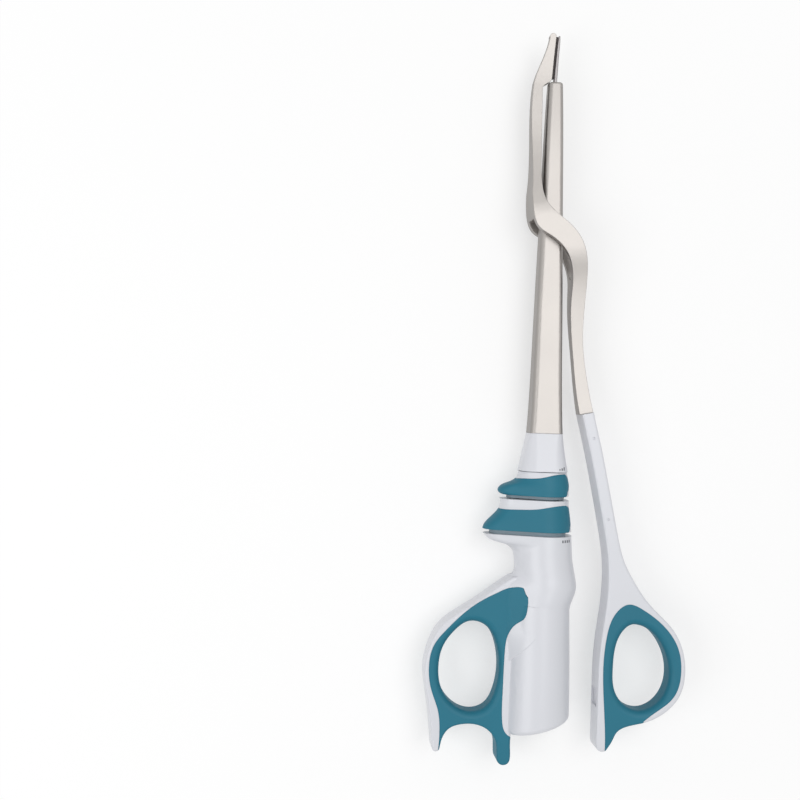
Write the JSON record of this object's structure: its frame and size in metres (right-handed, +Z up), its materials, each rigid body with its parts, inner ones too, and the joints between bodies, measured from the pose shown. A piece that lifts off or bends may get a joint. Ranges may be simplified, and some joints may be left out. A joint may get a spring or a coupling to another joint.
{
  "type": "ultrasonic scalpel",
  "caption": "Long scissor-grip ultrasonic shears: finger-ring handle, thumb lever, pivoting fork jaw, curved blade on a waveguide in a slim shroud, two ring-shaped activation buttons.",
  "frame": {"origin": "mouth of the threaded hole in the proximal end of the waveguide, on the waveguide's axis", "axes": "+Y along the waveguide towards the blade, +X towards the thumb lever, +Z up with the instrument lying flat on its side"},
  "size_m": [0.1108, 0.3118, 0.0278],
  "materials": {
    "white_abs": "satin moulded",
    "teal_elastomer": "matte moulded",
    "grey_plastic": "moulded",
    "satin_steel": "bead blasted",
    "titanium": "polished blade",
    "silicone": "soft",
    "dark_ptfe": "smooth",
    "gold_contact": "plated",
    "amber_flex": "film"
  },
  "bodies": {
    "handle": {"housing_front": "white_abs", "housing_rear": "white_abs", "finger_grip": "teal_elastomer", "nose_cone": "white_abs", "shaft_shroud": "satin_steel", "chassis": "grey_plastic", "switch_flex": "amber_flex", "max_button_domes": "silicone", "min_button_domes": "silicone", "contact_carrier": "grey_plastic", "inner_contact_ring": "gold_contact", "outer_contact_ring": "gold_contact", "waveguide": "titanium", "isolation_rings": "silicone", "distal_seal": "silicone", "torque_pin": "satin_steel", "torque_pin_bushing": "silicone", "pivot_studs": "satin_steel"},
    "lever": {"clamp_arm": "satin_steel", "tissue_pad": "dark_ptfe", "lever_shell_front": "white_abs", "lever_shell_rear": "white_abs", "lever_grip": "teal_elastomer", "lever_pins": "satin_steel"},
    "min_button": {"min_button_shell": "white_abs", "min_button_pad": "teal_elastomer"},
    "max_button": {"max_button_shell": "white_abs", "max_button_pad": "teal_elastomer"}
  },
  "joints": [
    {"name": "jaw_pivot", "type": "hinge", "parent": "handle", "child": "lever", "pos_m": [0, 0.1595, 0], "axis": [0, 0, 1], "range_deg": [0, 15]},
    {"name": "min_press", "type": "slide", "parent": "handle", "child": "min_button", "axis": [0, -1, 0], "range_m": [0, 0.0011], "stiffness_N_per_m": 300, "springref_m": -0.003, "deforming": ["min_button_domes"]},
    {"name": "max_press", "type": "slide", "parent": "handle", "child": "max_button", "axis": [0, -1, 0], "range_m": [0, 0.001], "stiffness_N_per_m": 300, "springref_m": -0.003, "deforming": ["max_button_domes"]}
  ]
}
